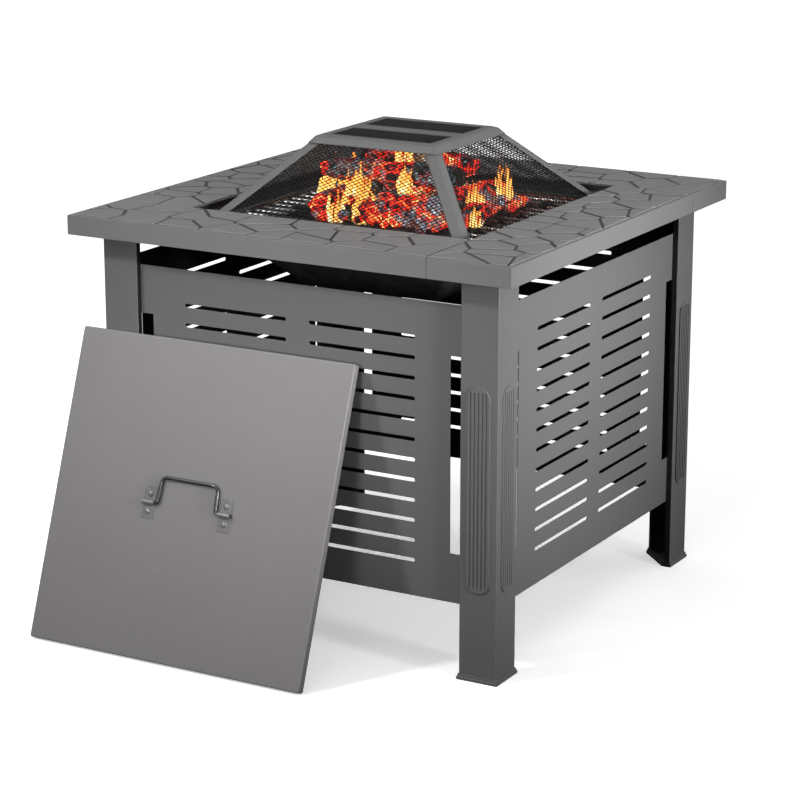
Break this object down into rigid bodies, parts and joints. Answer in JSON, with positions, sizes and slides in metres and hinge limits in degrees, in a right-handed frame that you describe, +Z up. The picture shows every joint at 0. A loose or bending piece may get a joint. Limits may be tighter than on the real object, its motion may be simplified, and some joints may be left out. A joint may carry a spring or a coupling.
{
  "type": "fire pit table with grate",
  "caption": "Square steel fire pit table: slatted sides on angle legs, tapered bowl, rod grate with logs, lift-off mesh screen and a leaning lid with a bail.",
  "frame": {"origin": "on the ground at the middle of the table's square plan", "axes": "+Z up; -Y is the side that the lid leans on; +X is to the right seen from that side"},
  "size_m": [0.762, 0.9012, 0.7465],
  "materials": {
    "top_paint": "satin",
    "frame_paint": "satin",
    "lid_paint": "satin",
    "handle_paint": "satin",
    "bowl_enamel": "matte",
    "screen_paint": "satin",
    "screen_mesh": "satin",
    "grate_zinc": "satin",
    "fixings_zinc": "satin",
    "charred_wood": "rough"
  },
  "bodies": {
    "table": {"leg_front_left": "frame_paint", "leg_front_right": "frame_paint", "leg_rear_right": "frame_paint", "leg_rear_left": "frame_paint", "foot_front_left": "frame_paint", "foot_front_right": "frame_paint", "foot_rear_right": "frame_paint", "foot_rear_left": "frame_paint", "corner_bracket_front_left": "frame_paint", "corner_bracket_front_right": "frame_paint", "corner_bracket_rear_right": "frame_paint", "corner_bracket_rear_left": "frame_paint", "side_panel_front": "frame_paint", "side_panel_right": "frame_paint", "side_panel_rear": "frame_paint", "side_panel_left": "frame_paint", "top_panel_front": "top_paint", "top_panel_right": "top_paint", "top_panel_rear": "top_paint", "top_panel_left": "top_paint", "fire_bowl": "bowl_enamel", "top_nuts": "fixings_zinc", "side_bolts": "fixings_zinc", "seam_rivets": "fixings_zinc"},
    "grate": {"fire_grate": "grate_zinc", "log_1": "charred_wood", "log_2": "charred_wood", "log_3": "charred_wood", "log_4": "charred_wood", "log_5": "charred_wood", "log_6": "charred_wood"},
    "screen": {"screen_base": "screen_paint", "screen_cap": "screen_paint", "screen_cap_mesh_front": "screen_mesh", "screen_cap_mesh_rear": "screen_mesh", "screen_strut_front_left": "screen_paint", "screen_strut_front_right": "screen_paint", "screen_strut_rear_right": "screen_paint", "screen_strut_rear_left": "screen_paint", "screen_mesh_front": "screen_mesh", "screen_mesh_right": "screen_mesh", "screen_mesh_rear": "screen_mesh", "screen_mesh_left": "screen_mesh"},
    "lid": {"lid_pan": "lid_paint", "handle_clip_left": "lid_paint", "handle_clip_right": "lid_paint", "handle_rivets": "lid_paint"},
    "bail": {"lid_handle": "handle_paint"}
  },
  "joints": [
    {"name": "grate_lift", "type": "slide", "parent": "table", "child": "grate", "axis": [0, 0, 1], "range_m": [0, 0.16]},
    {"name": "screen_lift", "type": "slide", "parent": "grate", "child": "screen", "axis": [0, 0, 1], "range_m": [0, 0.3]},
    {"name": "lid_pull", "type": "slide", "parent": "table", "child": "lid", "axis": [0, -0.9397, 0.342], "range_m": [0, 0.4]},
    {"name": "bail_hinge", "type": "hinge", "parent": "lid", "child": "bail", "pos_m": [-0.131, -0.44385, 0.22724], "axis": [1, 0, 0], "range_deg": [0, 180]}
  ]
}
